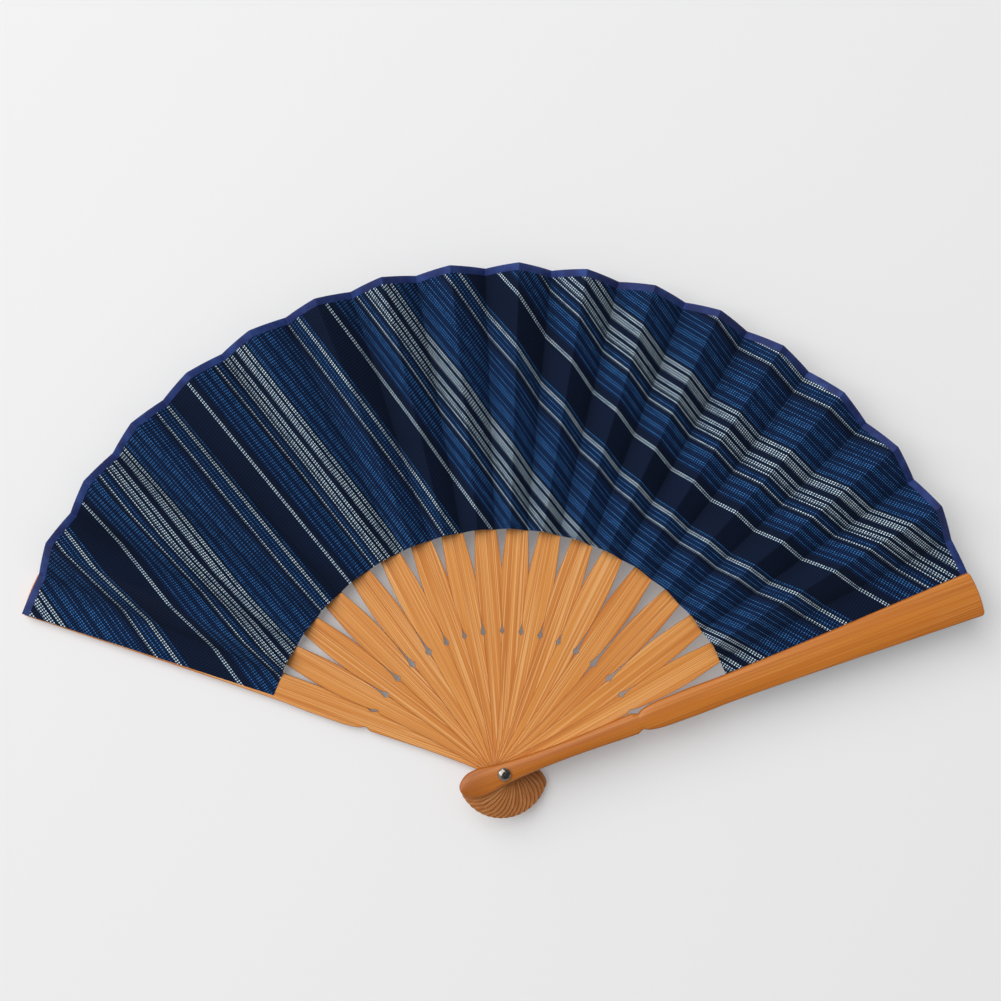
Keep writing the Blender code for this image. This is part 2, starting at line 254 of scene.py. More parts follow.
joints = {joint["name"]: joint for joint in frame["joints"]}
ratios = {item["joint"]: item["ratio"] for item in frame["record"]["behaviour"]["couplings"]}
open_angle = math.radians(joints["fan_open"]["range_deg"][1])
ribs = sum(name.startswith("rib_swing") for name in joints)

# The crease of a fold that lies flat: straight up, with no slope
LEVEL_CREASE = (np.array((0.0, 0.0, 1.0)), 0.0)


def srgb(red, green, blue):
    """A colour as a screen shows it, 0 to 255, in the linear values that a shader takes."""
    shares = [value / 255 for value in (red, green, blue)]
    return tuple(s / 12.92 if s <= 0.04045 else ((s + 0.055) / 1.055) ** 2.4 for s in shares)


# Bamboo's dark, middle and light tones, its pale fibres, and a wear tone that also lays painted shade on its
# edges and tail
RIB_TONES = (
    srgb(196, 115, 46), srgb(213, 136, 59), srgb(225, 152, 75), srgb(242, 188, 124), srgb(156, 90, 42),
)
GUARD_TONES = (
    srgb(180, 100, 29), srgb(196, 114, 36), srgb(209, 128, 47), srgb(224, 156, 84), srgb(160, 86, 28),
)

# Cloth, tape and metal, from dark to light where there are two or three
INDIGO = (srgb(3, 12, 31), srgb(8, 22, 48))
INDIGO_THREAD = srgb(22, 41, 71)
# Painted shade: the dark colour laid into the cloth in its valley folds
PAINTED_FOLD_SHADE = srgb(4, 12, 28)
WASHED_THREAD = srgb(22, 56, 106)
BLUE_YARN = (srgb(36, 94, 158), srgb(62, 126, 196))
WHITE_YARN = (srgb(190, 221, 247), srgb(224, 245, 255))
TAPE_TONES = (srgb(14, 32, 87), srgb(20, 43, 105), srgb(38, 66, 132))
TAPE_FUZZ = srgb(20, 33, 88)
NICKEL_TONES = (srgb(118, 114, 109), srgb(176, 171, 164))


class Nodes:
    """A node tree, with short calls that add a node and return its output."""

    def __init__(self, tree):
        self.tree = tree

    def add(self, kind, **settings):
        node = self.tree.nodes.new(kind)
        for name, value in settings.items():
            setattr(node, name, value)
        return node

    def join(self, socket, value):
        """Links an output to the socket, or sets the socket to a plain value."""
        if isinstance(value, bpy.types.NodeSocket):
            self.tree.links.new(value, socket)
        else:
            socket.default_value = value

    def feed(self, node, *values):
        """Joins the values to the node's inputs in their order, and returns its first output."""
        for socket, value in zip(node.inputs, values):
            self.join(socket, value)
        return node.outputs[0]

    def maths(self, operation, *values):
        return self.feed(self.add("ShaderNodeMath", operation=operation), *values)

    def plus(self, value, other):
        return self.maths("ADD", value, other)

    def minus(self, value, other):
        return self.maths("SUBTRACT", value, other)

    def times(self, value, factor):
        return self.maths("MULTIPLY", value, factor)

    def over(self, value, divisor):
        return self.maths("DIVIDE", value, divisor)

    def fraction(self, value):
        return self.maths("FRACT", value)

    def from_half(self, value):
        """How far a value's fraction is from a half: 0 in the middle of a step and 0.5 at its ends."""
        return self.maths("ABSOLUTE", self.minus(self.fraction(value), 0.5))

    def length(self, x, y):
        return self.maths("SQRT", self.plus(self.times(x, x), self.times(y, y)))

    def parts(self, vector):
        node = self.add("ShaderNodeSeparateXYZ")
        self.join(node.inputs[0], vector)
        return node.outputs

    def noise(self, places, rates, detail):
        """Noise from 0 to 1 over up to three places, each with its own rate of change."""
        steps = [self.times(place, rate) for place, rate in zip(places, rates)]
        node = self.add("ShaderNodeTexNoise")
        self.join(node.inputs["Vector"], self.feed(self.add("ShaderNodeCombineXYZ"), *steps))
        node.inputs["Scale"].default_value = 1.0
        node.inputs["Detail"].default_value = detail
        return node.outputs["Fac"]

    def between(self, value, low, high, to_low=0.0, to_high=1.0, climb="SMOOTHSTEP"):
        """The value's climb from low to high, as a number from to_low to to_high."""
        node = self.add("ShaderNodeMapRange", interpolation_type=climb)
        return self.feed(node, value, low, high, to_low, to_high)

    def ramp(self, value, stops, kind="LINEAR"):
        """A colour ramp. Each stop is (place, colour)."""
        node = self.add("ShaderNodeValToRGB")
        band = node.color_ramp
        band.interpolation = kind
        while len(band.elements) < len(stops):
            band.elements.new(1.0)
        for element, (place, colour) in zip(band.elements, stops):
            element.position = place
            element.color = (*colour, 1.0)
        return self.feed(node, value)

    def mix(self, share, first, second, kind="RGBA"):
        """Two colours mixed, or two numbers where the kind is FLOAT."""
        node = self.add("ShaderNodeMix", data_type=kind)
        sockets = [socket for socket in node.inputs if socket.enabled]
        for socket, value in zip(sockets, (share, first, second)):
            self.join(socket, (*value, 1.0) if isinstance(value, tuple) else value)
        return next(socket for socket in node.outputs if socket.enabled)


class Finish(Nodes):
    """A new material around its Principled shader."""

    def __init__(self, name):
        self.material = bpy.data.materials.new(name)
        self.material.use_nodes = True
        super().__init__(self.material.node_tree)
        self.shader = self.tree.nodes["Principled BSDF"]

    def kept(self, name, output):
        """What the mesh keeps for each point under this name."""
        return self.add("ShaderNodeAttribute", attribute_name=name).outputs[output]

    def bump(self, height, distance, strength):
        node = self.add("ShaderNodeBump")
        node.inputs["Strength"].default_value = strength
        node.inputs["Distance"].default_value = distance
        self.join(node.inputs["Height"], height)
        self.join(self.shader.inputs["Normal"], node.outputs[0])

    def end(self, colour, roughness, **shine):
        """Sets the shader and returns the material. Shine holds the shader's other inputs by name."""
        self.join(self.shader.inputs["Base Color"], colour)
        self.join(self.shader.inputs["Roughness"], roughness)
        for name, value in shine.items():
            self.shader.inputs[name].default_value = value
        return self.material


def bamboo(name, tones, lines, roughness, gloss, handled):
    """Bamboo with lengthwise fibres. Tones are its dark, middle, light, pale fibre and wear colours, the wear
    tone also laid on as painted shade along the edges and over the tail. Lines is how strongly its fibres
    show, and handled is how much darker it is towards the rivet."""
    finish = Finish(name)
    x, y, seed = finish.parts(finish.kept("flat", "Vector"))
    edge = finish.kept("edge", "Fac")
    along = finish.times(x, 1 / MM)
    across = finish.times(y, 1 / MM)
    bend = finish.noise((along, across, seed), BEND_RATES, detail=1.0)
    across = finish.plus(across, finish.times(bend, FIBRE_BEND))
    place = (along, across, seed)
    stick = finish.noise((seed, along), STICK_RATES, detail=0.0)
    broad = finish.noise(place, BROAD_RATES, detail=1.0)
    streaks = finish.noise(place, STREAK_RATES, detail=2.0)
    hairs = finish.noise(place, HAIR_RATES, detail=0.0)
    dark, middle, light, hair, wear_and_shade_tone = tones
    tone = finish.plus(finish.times(stick, STICK_SHARE), finish.times(broad, 1 - STICK_SHARE))
    colour = finish.ramp(tone, list(zip(TONE_STOPS, (dark, middle, light))))
    layers = (
        (finish.between(streaks, *DARK_STREAKS, 0.0, DARK_SHARE * lines), dark),
        (finish.between(streaks, *LIGHT_STREAKS, 0.0, LIGHT_SHARE * lines), light),
        (finish.between(hairs, *PALE_HAIRS, 0.0, lines), hair),
        # Wear and painted shade: darker along the stick's edges, where it meets its neighbours
        (finish.between(edge, *EDGE_WEAR_AND_SHADE), wear_and_shade_tone),
        (finish.between(along, *HANDLED_RUN, 0.0, handled), wear_and_shade_tone),
        # Wear and painted shade: darker towards the tail, as in the front guard's shadow
        (finish.between(along, *TAIL_WEAR_AND_SHADE), wear_and_shade_tone),
    )
    for share, tint in layers:
        colour = finish.mix(share, colour, tint)
    fibres = finish.plus(finish.times(streaks, STREAK_RELIEF), finish.times(hairs, 1 - STREAK_RELIEF))
    finish.bump(fibres, FIBRE_DEPTH, strength=lines)
    low, high = roughness - ROUGHNESS_SPREAD, roughness + ROUGHNESS_SPREAD
    rough = finish.between(tone, TONE_STOPS[0], TONE_STOPS[-1], high, low)
    shine = {"Specular IOR Level": 0.35, "Coat Weight": gloss, "Coat Roughness": 0.25}
    return finish.end(colour, rough, **shine)


def band_stops(bands):
    """Ramp stops that are white on each band of threads of the repeat and black between them."""
    stops = [(0.0, (0.0, 0.0, 0.0))]
    for first, count in bands:
        if first == 0:
            stops = []
        stops.append((first / REPEAT_THREADS, (1.0, 1.0, 1.0)))
        stops.append(((first + count) / REPEAT_THREADS, (0.0, 0.0, 0.0)))
    return stops


def striped_cotton():
    """Indigo cotton with white and blue threads in stripes. Each thread shows as dots between the wefts.
    Painted shade darkens it towards each valley fold.
    """
    finish = Finish("striped_cotton")
    x, y, turn = finish.parts(finish.kept("flat", "Vector"))
    across, beside = math.cos(STRIPES_ACROSS), math.sin(STRIPES_ACROSS)
    out = finish.plus(finish.times(x, across), finish.times(y, beside))
    along = finish.minus(finish.times(y, across), finish.times(x, beside))
    waver = finish.noise((along, out), WAVER_RATES, detail=1.0)
    out = finish.plus(out, finish.times(finish.minus(waver, 0.5), WAVER))
    count = finish.over(finish.minus(STRIPES_START, out), THREAD)
    repeats = finish.over(finish.plus(count, SPARE_REPEATS * REPEAT_THREADS), REPEAT_THREADS)
    place = finish.fraction(repeats)
    white, blue, washed = (
        finish.ramp(place, band_stops(bands), "CONSTANT")
        for bands in (WHITE_THREADS, BLUE_THREADS, WASHED_THREADS)
    )
    on_thread = finish.between(finish.from_half(count), *THREAD_EDGE, 1.0, 0.0)
    on_pick = finish.between(finish.from_half(finish.over(along, PICK)), *PICK_EDGE, 1.0, 0.0)
    dot = finish.times(on_thread, on_pick)
    spin = finish.noise((along, finish.maths("FLOOR", count)), SPIN_RATES, detail=2.0)
    shown = finish.times(dot, finish.between(spin, *THIN_SPOTS))
    fade = finish.noise((x, y, turn), FADE_RATES, detail=3.0)
    ground = finish.mix(fade, *INDIGO)
    ground = finish.mix(finish.times(dot, GROUND_DOTS), ground, INDIGO_THREAD)
    ground = finish.mix(finish.times(washed, shown), ground, WASHED_THREAD)
    twist = finish.between(spin, *YARN_TWIST)
    colour = finish.mix(finish.times(blue, shown), ground, finish.mix(twist, *BLUE_YARN))
    colour = finish.mix(finish.times(white, shown), colour, finish.mix(twist, *WHITE_YARN))
    # Painted shade: the cloth darkens towards each valley fold, where shade falls in the crease
    pleat = finish.over(finish.minus(FLAT_FIRST_VALLEY, turn), 2 * CLOTH_PANEL_ANGLE)
    valley_share = finish.times(finish.from_half(pleat), 2.0)
    colour = finish.mix(finish.between(valley_share, *VALLEY_SHADE), colour, PAINTED_FOLD_SHADE)
    finish.bump(dot, THREAD_DEPTH, strength=0.5)
    shine = {"Specular IOR Level": 0.12, "Sheen Weight": 0.02, "Sheen Roughness": 0.5}
    return finish.end(colour, roughness=0.85, **shine)


def binding_tape():
    """The plain blue tape on the leaf's outer edge, finely ribbed along its length."""
    finish = Finish("binding_tape")
    x, y, turn = finish.parts(finish.kept("flat", "Vector"))
    cloud = finish.noise((x, y, turn), TAPE_CLOUD_RATES, detail=3.0)
    fuzz = finish.noise((x, y), TAPE_FUZZ_RATES, detail=2.0)
    ridges = finish.maths("SINE", finish.times(finish.length(x, y), math.tau / TAPE_RIDGE))
    colour = finish.ramp(cloud, list(zip(TAPE_STOPS, TAPE_TONES)))
    colour = finish.mix(finish.between(fuzz, *TAPE_SHADE), colour, TAPE_FUZZ)
    finish.bump(finish.plus(ridges, fuzz), TAPE_DEPTH, strength=0.5)
    shine = {"Specular IOR Level": 0.35, "Sheen Weight": 0.05, "Sheen Roughness": 0.5}
    return finish.end(colour, roughness=0.6, **shine)


def dark_nickel():
    """Polished dark plating with faint turning marks and a slight cloud."""
    finish = Finish("dark_nickel")
    x, y, z = finish.parts(finish.add("ShaderNodeTexCoord").outputs["Object"])
    rings = finish.noise((finish.length(x, y), z), RING_RATES, detail=2.0)
    cloud = finish.noise((x, y, z), CLOUD_RATES, detail=3.0)
    colour = finish.ramp(cloud, list(zip(CLOUD_STOPS, NICKEL_TONES)))
    finish.bump(rings, RING_DEPTH, strength=0.3)
    return finish.end(colour, finish.between(cloud, *CLOUD_ROUGHNESS), Metallic=1.0)


def linked(name, data):
    """A new object in the scene."""
    made = bpy.data.objects.new(name, data)
    bpy.context.scene.collection.objects.link(made)
    return made


def worked_out(thing):
    """A mesh of the object with its curve or its modifiers worked out."""
    bpy.context.view_layer.update()
    return bpy.data.meshes.new_from_object(thing.evaluated_get(bpy.context.evaluated_depsgraph_get()))


def keep(mesh, name, values):
    """Keeps a number or a vector for each point of the mesh, for its material to read by name."""
    kind, field = ("FLOAT_VECTOR", "vector") if values.ndim > 1 else ("FLOAT", "value")
    mesh.attributes.new(name, kind, "POINT").data.foreach_set(field, values.ravel())


def solid_mesh(name, points, faces, flat=None):
    """A closed mesh with its faces pointing out. Cloth keeps its flat places, and other meshes are welded."""
    mesh = bpy.data.meshes.new(name)
    mesh.from_pydata(points.reshape(-1, 3).tolist(), [], faces)
    if flat is not None:
        keep(mesh, "flat", flat)
    work = bmesh.new()
    work.from_mesh(mesh)
    if flat is None:
        bmesh.ops.remove_doubles(work, verts=work.verts, dist=WELD)
        bmesh.ops.dissolve_degenerate(work, edges=work.edges, dist=WELD)
    bmesh.ops.triangulate(work, faces=[face for face in work.faces if len(face.verts) > 4])
    bmesh.ops.recalc_face_normals(work, faces=work.faces)
    work.to_mesh(mesh)
    work.free()
    return mesh


def smooth(mesh):
    """Shades the mesh smooth except at its sharp edges."""
    mesh.shade_smooth()
    mesh.set_sharp_from_angle(angle=SHARP_ANGLE)


def grid_solid(name, top, bottom, flat=None):
    """A closed solid between two grids of points. Flat is their place in the flat cloth, for cloth."""
    rows, columns = top.shape[:2]
    count = rows * columns
    index = np.arange(count).reshape(rows, columns)
    quads = np.stack([index[:-1, :-1], index[1:, :-1], index[1:, 1:], index[:-1, 1:]], -1).reshape(-1, 4)
    rim = np.concatenate([index[0, :-1], index[:-1, -1], index[-1, :0:-1], index[:0:-1, 0]])
    after = np.roll(rim, -1)
    walls = np.stack([rim, after, after + count, rim + count], -1)
    faces = np.concatenate([quads, quads[:, ::-1] + count, walls]).tolist()
    both_flat = None if flat is None else np.concatenate([flat, flat])
    return solid_mesh(name, np.concatenate([top, bottom]), faces, both_flat)


def piece(name, mesh, body, replaced, slot, *finishes, place=Matrix()):
    """One piece of the fan, on its body, in the place of a node of the model."""
    made = linked(name, mesh)
    for finish in finishes:
        mesh.materials.append(finish)
    mesh.transform(place)
    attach(made, body)
    if replaced:
        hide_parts(replaced)
    return made


def stick_azimuth(number):
    """The azimuth of a stick, counted from 0 at the rear guard to ribs + 1 at the front guard."""
    rear = ABOVE + open_angle / 2
    if number == 0:
        return rear
    if number > ribs:
        return rear - open_angle
    return rear - open_angle * ratios[f"rib_swing_{number:02d}"]


def stick_knots(tail, pivot, neck, notch, belly):
    """Knots of a stick's long side, (x, y, sharp), from its round tail to the belly past the notch."""
    knots = [(TAIL * x, tail * y, False) for x, y in (TAIL_TURN, TAIL_WIDEST)]
    knots += [(0.0, pivot, False), (NECK_REACH, neck, False)]
    knots += [(x, y, n < SHARP_NOTCH_KNOTS) for n, (x, y) in enumerate(notch)]
    return knots + [(BELLY_REACH, belly, False)]


def curved_side(knots):
    """The long side as xs and ys, curved through its smooth knots."""
    curve = bpy.data.curves.new("side", "CURVE")
    curve.dimensions = "2D"
    curve.fill_mode = "NONE"
    curve.resolution_u = CURVE_STEPS
    spline = curve.splines.new("BEZIER")
    outline = [(-TAIL, 0.0, False)] + knots + [(x, -y, sharp) for x, y, sharp in reversed(knots)]
    spline.bezier_points.add(len(outline) - 1)
    spline.use_cyclic_u = True
    for knot, (x, y, sharp) in zip(spline.bezier_points, outline):
        knot.co = (x, y, 0.0)
        knot.handle_left_type = "VECTOR" if sharp else "AUTO"
        knot.handle_right_type = knot.handle_left_type
    drawn = linked("side", curve)
    mesh = worked_out(drawn)
    points = sorted((v.co.x, v.co.y) for v in mesh.vertices if v.co.y > -TINY)
    bpy.data.objects.remove(drawn)
    bpy.data.curves.remove(curve)
    bpy.data.meshes.remove(mesh)
    return np.array(points).T


def stations(reach, breaks):
    """Places along a stick: close together at its tail, notch, breaks and tip, and even elsewhere."""
    tail_turns = np.linspace(TAIL_FIRST_TURN, ABOVE, TAIL_STATIONS)
    tip_turns = np.linspace(0.0, ABOVE, TIP_STATIONS)
    places = [
        -TAIL * np.cos(tail_turns),
        np.arange(0.0, reach, STATION_STEP),
        np.arange(*NOTCH_RUN, FINE_STEP),
        np.array(breaks),
        reach - TIP_ROUND * (1 - np.sin(tip_turns)),
    ]
    ordered = np.unique(np.concatenate(places).round(7))
    return ordered[ordered <= reach]


def stick_mesh(name, side, reach, rebate, top, edges, crown=0.0, breaks=LEAF_STEP):
    """A stick's solid. Rebate is how far its floor rises under the leaf, and edges are the roundings of
    its top and bottom."""
    xs = stations(reach, breaks)
    half = np.interp(xs, *side)
    slope = np.gradient(half, xs)
    past = np.clip(xs - reach + TIP_ROUND, 0.0, TIP_ROUND)
    half = half - TIP_ROUND + np.sqrt(TIP_ROUND**2 - past**2)
    across = np.cos(np.linspace(0.0, math.pi, STICK_COLUMNS))
    bow = TIP_BOW * np.clip(1 + (xs - reach) / TIP_BOW_RUN, 0.0, 1.0) ** 2
    x = xs[:, None] - bow[:, None] * across**2
    y = half[:, None] * across
    inside = (half[:, None] - np.abs(y)) / np.sqrt(1 + slope[:, None] ** 2)
    inside = np.minimum(inside, (reach - xs)[:, None])
    bottom = np.interp(xs, LEAF_STEP, (0.0, rebate))[:, None]

    def drop(edge):
        near = np.clip(edge - inside, 0.0, edge)
        return edge - np.sqrt(np.maximum(edge**2 - near**2, 0.0))

    upper = top - drop(edges[0]) - crown * np.abs(across) ** CROWN_POWER
    lower = bottom + drop(edges[1])
    mesh = grid_solid(name, np.stack([x, y, upper], -1), np.stack([x, y, lower], -1))
    return pin_hole(mesh)


def pin_hole(mesh):
    """The stick with its hole for the rivet's pin."""
    drill_mesh = bpy.data.meshes.new("drill")
    work = bmesh.new()
    bmesh.ops.create_cone(
        work,
        cap_ends=True,
        segments=HOLE_SIDES,
        radius1=HOLE_RADIUS,
        radius2=HOLE_RADIUS,
        depth=DRILL_DEPTH,
    )
    work.to_mesh(drill_mesh)
    work.free()
    drill = linked("drill", drill_mesh)
    body = linked(mesh.name, mesh)
    away = body.modifiers.new("away", "BOOLEAN")
    away.operation = "DIFFERENCE"
    away.solver = "EXACT"
    away.object = drill
    made = worked_out(body)
    bpy.data.objects.remove(body)
    bpy.data.objects.remove(drill)
    smooth(made)
    return made


def mark_stick(mesh, side, seed):
    """Keeps each point's place along and across the stick, and its distance from the outline."""
    points = np.empty(3 * len(mesh.vertices))
    mesh.vertices.foreach_get("co", points)
    points = points.reshape(-1, 3)
    keep(mesh, "flat", np.column_stack([points[:, :2], np.full(len(points), seed)]))
    keep(mesh, "edge", np.maximum(np.interp(points[:, 0], *side) - np.abs(points[:, 1]), 0.0))


def set_back_finish(mesh, outer_up):
    """Gives a guard its plain finish, the second one, on the face that lies against the leaf."""
    up = 1.0 if outer_up else -1.0
    for face in mesh.polygons:
        face.material_index = int(face.normal.z * up < -FACING)


def stick_place(number, level):
    """The move of a stick from its own axis to its azimuth and its level."""
    return Matrix.Translation((0.0, 0.0, level)) @ Matrix.Rotation(stick_azimuth(number), 4, "Z")


def bamboo_ribs():
    """The slim sticks, alike but for their grain."""
    knots = stick_knots(RIB_TAIL_HALF, RIB_PIVOT_HALF, RIB_NECK_HALF, RIB_NOTCH, RIB_BELLY_HALF)
    knots.append((LEAF_INNER, RIB_FOOT_HALF, True))
    knots += [(x, TONGUE_HALF, True) for x in (TONGUE_START, RIB_REACH)]
    side = curved_side(knots)
    rebate = STEM_THICKNESS - TONGUE_THICKNESS
    breaks = (*LEAF_STEP, LEAF_INNER, TONGUE_START)
    rib = stick_mesh("rib", side, RIB_REACH, rebate, STEM_THICKNESS, (RIB_EDGE, RIB_EDGE), breaks=breaks)
    for number in range(1, ribs + 1):
        mesh = rib.copy()
        mark_stick(mesh, side, RIB_SEED_STEP * number)
        name = f"rib_{number:02d}"
        place = stick_place(number, joints[f"rib_swing_{number:02d}"]["pos_m"][2])
        piece(f"stick_{number:02d}", mesh, name, name, "rib_bamboo", rib_finish, place=place)


def bamboo_guards():
    """The two broad sticks, each with its crowned face outwards."""
    knots = stick_knots(GUARD_TAIL_HALF, GUARD_PIVOT_HALF, GUARD_NECK_HALF, GUARD_NOTCH, GUARD_BELLY_HALF)
    knots.append((GUARD_STRAIGHT_REACH, GUARD_BELLY_HALF, False))
    knots.append((GUARD_REACH, GUARD_TIP_HALF, True))
    side = curved_side(knots)
    edges = (GUARD_EDGE, GUARD_INNER_EDGE)
    for name, number, body in (("rear_guard", 0, "rear"), ("front_guard", ribs + 1, "front")):
        low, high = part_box(name)
        thickness = high.z - low.z
        in_front = number > ribs
        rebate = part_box("leaf_end_front")[1].z - low.z if in_front else 0.0
        mesh = stick_mesh(name, side, GUARD_REACH, rebate, thickness, edges, GUARD_CROWN)
        if not in_front:
            mesh.transform(Matrix.Translation((0.0, 0.0, thickness)) @ Matrix.Scale(-1.0, 4, (0.0, 0.0, 1.0)))
            mesh.flip_normals()
        mark_stick(mesh, side, GUARD_SEED + number)
        place = stick_place(number, low.z)
        made = piece(f"{name}_stick", mesh, body, name, "guard_bamboo", guard_finish, rib_finish, place=place)
        set_back_finish(made.data, in_front)


def fold_line(azimuth, level, lift=0.0, shift=0.0):
    """A fold as its apex and direction. Shift moves the apex to the left of the direction."""
    apex = np.array((-shift * math.sin(azimuth), shift * math.cos(azimuth), level))
    run = math.cos(lift)
    return apex, np.array((run * math.cos(azimuth), run * math.sin(azimuth), math.sin(lift)))


def valley(number):
    """The azimuth and level of the valley fold beside a stick, from the joint that turns about it."""
    joint = joints[f"falling_fold_{number:02d}" if number else "rising_fold_00"]
    azimuth = math.atan2(-joint["axis"][1], -joint["axis"][0])
    return azimuth, joint["pos_m"][2] - (0.0 if number else LAYER / 2)


def mountain(number):
    """The mountain fold between a valley and the next."""
    (azimuth, level), (next_azimuth, next_level) = valley(number), valley(number + 1)
    gap = azimuth - next_azimuth
    lift = math.acos(math.cos(PANEL_ANGLE) / math.cos(gap / 2))
    shift = math.sin(lift) * (next_level - level) / gap
    return fold_line((azimuth + next_azimuth) / 2, (level + next_level) / 2, lift, shift)


def crease(fold, left, right):
    """The direction into a fold, halfway between its panels, and how steeply they leave its floor."""
    line = fold[1]
    leaving = []
    for other in (left, right):
        away = other[1] - line * np.dot(other[1], line)
        leaving.append(away / np.linalg.norm(away))
    inward = leaving[0] + leaving[1]
    if np.linalg.norm(inward) < FLAT_CREASE:
        return LEVEL_CREASE
    inward /= np.linalg.norm(inward)
    return inward, ABOVE - math.acos(np.clip(np.dot(inward, leaving[0]), -1.0, 1.0))


def panel_grid(folds, creases, flats, reaches, rows):
    """Points, normals and flat places of a panel between two folds, rounded where it meets them.

    Rows are reaches from the rivet, as they are at a mountain fold. Flats are the turn of each fold in
    the flat cloth, and 1 for a mountain or 0 for a valley.
    """
    (apex_a, line_a), (apex_b, line_b) = folds
    angle = math.acos(np.clip(np.dot(line_a, line_b), -1.0, 1.0))
    fine = FOLD_ROUND * np.linspace(0.0, 1.0, FOLD_COLUMNS + 1)
    width = LEAF_INNER * angle
    inner = np.linspace(FOLD_ROUND, width - FOLD_ROUND, PANEL_COLUMNS)[1:-1] / width
    points, flat = [], []
    for row in rows:
        near_shares = fine / (row * angle)
        shares = np.concatenate([near_shares, inner, 1 - near_shares[::-1]])
        reach = row * (reaches[0] * (1 - shares) + reaches[1] * shares) / MOUNTAIN_REACH
        turned = np.sin((1 - shares) * angle)[:, None] * line_a + np.sin(shares * angle)[:, None] * line_b
        place = reach[:, None] * turned / math.sin(angle)
        place += (1 - shares)[:, None] * apex_a + shares[:, None] * apex_b
        for (inward, slope), off in ((creases[0], shares), (creases[1], 1 - shares)):
            near = np.clip(FOLD_ROUND - off * row * angle, 0.0, None)
            place += (math.tan(slope) * near**2 / (2 * FOLD_ROUND))[:, None] * inward
        points.append(place)
        (turn_a, peak_a), (turn_b, peak_b) = flats
        turn = turn_a * (1 - shares) + turn_b * shares
        peak = peak_a * (1 - shares) + peak_b * shares
        climb = np.interp(reach, (LEAF_INNER, SHEAR_REACH), (0.0, 1.0))
        out = CLOTH_APEX + reach - CLOTH_SHEAR * peak * climb
        flat.append(np.stack([out * np.cos(turn), out * np.sin(turn), turn], -1))
    points, flat = np.array(points), np.array(flat)
    outward = np.gradient(points, axis=0)
    sideways = np.gradient(points, axis=1)
    normals = np.cross(outward, sideways)
    normals /= np.linalg.norm(normals, axis=-1, keepdims=True)
    normals *= np.sign(normals[..., 2:3])
    for column, (inward, _) in ((0, creases[0]), (-1, creases[1])):
        normals[:, column] = inward * np.sign(inward[2])
    return points, normals, flat


def binding_mesh(name, folds, creases, flats, reaches):
    """Tape folded over the outer edge of a panel, as a closed strip with a U for its section."""
    start = MOUNTAIN_REACH - BINDING_WIDTH
    end = MOUNTAIN_REACH - BINDING_WRAP / 2
    inset = end - BINDING_INSET
    lining = CLOTH_HALF + LINING_GAP
    section = [(start + run, BINDING_HALF * share) for run, share in BINDING_LIP]
    section.append((start + BINDING_WIDTH / 2, BINDING_HALF))
    section += [(end + run, BINDING_HALF * share) for run, share in BINDING_NOSE]
    section += [(reach, -lift) for reach, lift in reversed(section[:-1])]
    section += [(start, -lining), (inset, -lining), (inset, lining), (start, lining)]
    rows, where = np.unique(np.array([reach for reach, lift in section]).round(9), return_inverse=True)
    points, normals, flat = (part[where] for part in panel_grid(folds, creases, flats, reaches, rows))
    lifts = np.array([lift for reach, lift in section])
    ring = points + normals * lifts[:, None, None]
    rings, columns = ring.shape[:2]
    index = np.arange(rings * columns).reshape(rings, columns)
    after = np.roll(index, -1, 0)
    walls = np.stack([index[:, :-1], after[:, :-1], after[:, 1:], index[:, 1:]], -1).reshape(-1, 4).tolist()
    ends = [index[:, 0].tolist(), index[::-1, -1].tolist()]
    mesh = solid_mesh(name, ring, walls + ends, flat)
    smooth(mesh)
    return mesh


def panel(name, body, folds, creases, flats, reaches):
    """One panel of cloth with its binding, on its own body."""
    end = MOUNTAIN_REACH - BINDING_WRAP
    rows = np.linspace(LEAF_INNER, end, int((end - LEAF_INNER) / ROW_STEP))
    points, normals, flat = panel_grid(folds, creases, flats, reaches, rows)
    lift = CLOTH_HALF * normals
    mesh = grid_solid(f"cloth_{name}", points + lift, points - lift, flat)
    smooth(mesh)
    node = f"leaf_{name}"
    cloth = piece(f"cloth_{name}", mesh, body, node, "leaf_cloth", cotton_finish)
    tape_mesh = binding_mesh(f"binding_{name}", folds, creases, flats, reaches)
    tape = piece(f"binding_{name}", tape_mesh, body, None, "leaf_cloth", binding_finish)


